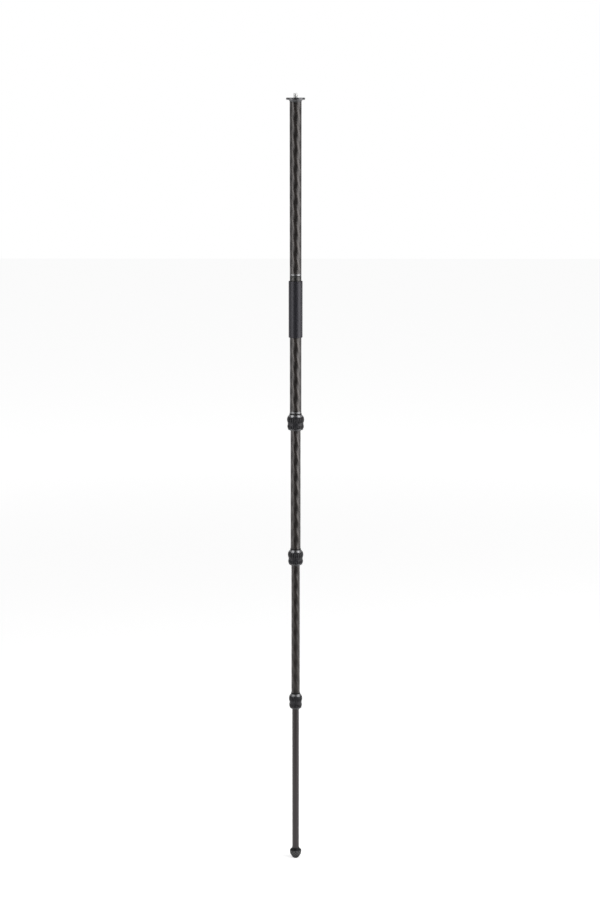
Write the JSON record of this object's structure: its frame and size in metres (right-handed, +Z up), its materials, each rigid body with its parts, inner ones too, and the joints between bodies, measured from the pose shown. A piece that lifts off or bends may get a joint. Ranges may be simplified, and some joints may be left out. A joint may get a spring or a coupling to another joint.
{
  "type": "camera monopod",
  "caption": "Telescoping monopod: a stud platform on a carbon column, screwed onto a foam-gripped leg that slides out in sections held by twist locks, with a rubber foot.",
  "frame": {"origin": "on the pole's axis, where the rubber foot meets the ground, with all the legs drawn out", "axes": "+Z up along the pole, towards the camera; the pole looks the same from all sides, so +X and +Y are free"},
  "size_m": [0.04, 0.04, 1.7128],
  "materials": {
    "carbon": "clear-coated carbon fibre wound in spiral bands",
    "carbon_smooth": "semi-gloss carbon fibre, plain",
    "satin_metal": "satin anodised",
    "bright_ring": "bright turned",
    "bright_steel": "bright",
    "polished_nut": "polished dark anodised",
    "dark_collar": "satin, dark anodised",
    "foam": "fine closed-cell foam",
    "grip_rubber": "matt moulded",
    "foot_rubber": "matt moulded",
    "dark_lip": "matt",
    "white_plastic": "moulded"
  },
  "bodies": {
    "upper_leg": {"leg_tube_1": "carbon", "leg_top_collar": "dark_collar", "joining_stud": "bright_steel", "foam_grip": "foam", "leg_1_trim_ring": "bright_ring", "lock_1_ferrule": "satin_metal", "lock_1_collet": "white_plastic"},
    "column": {"column_tube": "carbon", "column_end_fitting": "bright_ring", "column_top_plug": "satin_metal", "platform_plate": "satin_metal", "camera_screw": "bright_steel"},
    "twist_lock_1": {"lock_1_nut": "polished_nut", "lock_1_grip_sleeve": "grip_rubber", "lock_1_wiper": "dark_lip", "lock_1_mouth_seal": "dark_lip"},
    "leg_2": {"leg_tube_2": "carbon", "leg_2_shim_back": "white_plastic", "leg_2_shim_front": "white_plastic", "lock_2_ferrule": "satin_metal", "lock_2_collet": "white_plastic"},
    "twist_lock_2": {"lock_2_nut": "polished_nut", "lock_2_grip_sleeve": "grip_rubber", "lock_2_wiper": "dark_lip", "lock_2_mouth_seal": "dark_lip"},
    "leg_3": {"leg_tube_3": "carbon", "leg_3_shim_back": "white_plastic", "leg_3_shim_front": "white_plastic", "lock_3_ferrule": "satin_metal", "lock_3_collet": "white_plastic"},
    "twist_lock_3": {"lock_3_nut": "polished_nut", "lock_3_grip_sleeve": "grip_rubber", "lock_3_wiper": "dark_lip", "lock_3_mouth_seal": "dark_lip"},
    "leg_4": {"leg_tube_4": "carbon_smooth", "leg_4_shim_back": "white_plastic", "leg_4_shim_front": "white_plastic", "foot_insert": "satin_metal", "rubber_foot": "foot_rubber"}
  },
  "joints": [
    {"name": "column_unscrew", "type": "hinge", "parent": "upper_leg", "child": "column", "pos_m": [0, 0, 1.3313], "axis": [0, 0, 1], "range_deg": [0, 360]},
    {"name": "lock_1_turn", "type": "hinge", "parent": "upper_leg", "child": "twist_lock_1", "pos_m": [0, 0, 1.0202], "axis": [0, 0, 1], "range_deg": [0, 180]},
    {"name": "leg_2_slide", "type": "slide", "parent": "upper_leg", "child": "leg_2", "axis": [0, 0, 1], "range_m": [0, 0.2635]},
    {"name": "lock_2_turn", "type": "hinge", "parent": "leg_2", "child": "twist_lock_2", "pos_m": [0, 0, 0.7177], "axis": [0, 0, 1], "range_deg": [0, 180]},
    {"name": "leg_3_slide", "type": "slide", "parent": "leg_2", "child": "leg_3", "axis": [0, 0, 1], "range_m": [0, 0.2945]},
    {"name": "lock_3_turn", "type": "hinge", "parent": "leg_3", "child": "twist_lock_3", "pos_m": [0, 0, 0.3842], "axis": [0, 0, 1], "range_deg": [0, 180]},
    {"name": "leg_4_slide", "type": "slide", "parent": "leg_3", "child": "leg_4", "axis": [0, 0, 1], "range_m": [0, 0.332]}
  ]
}
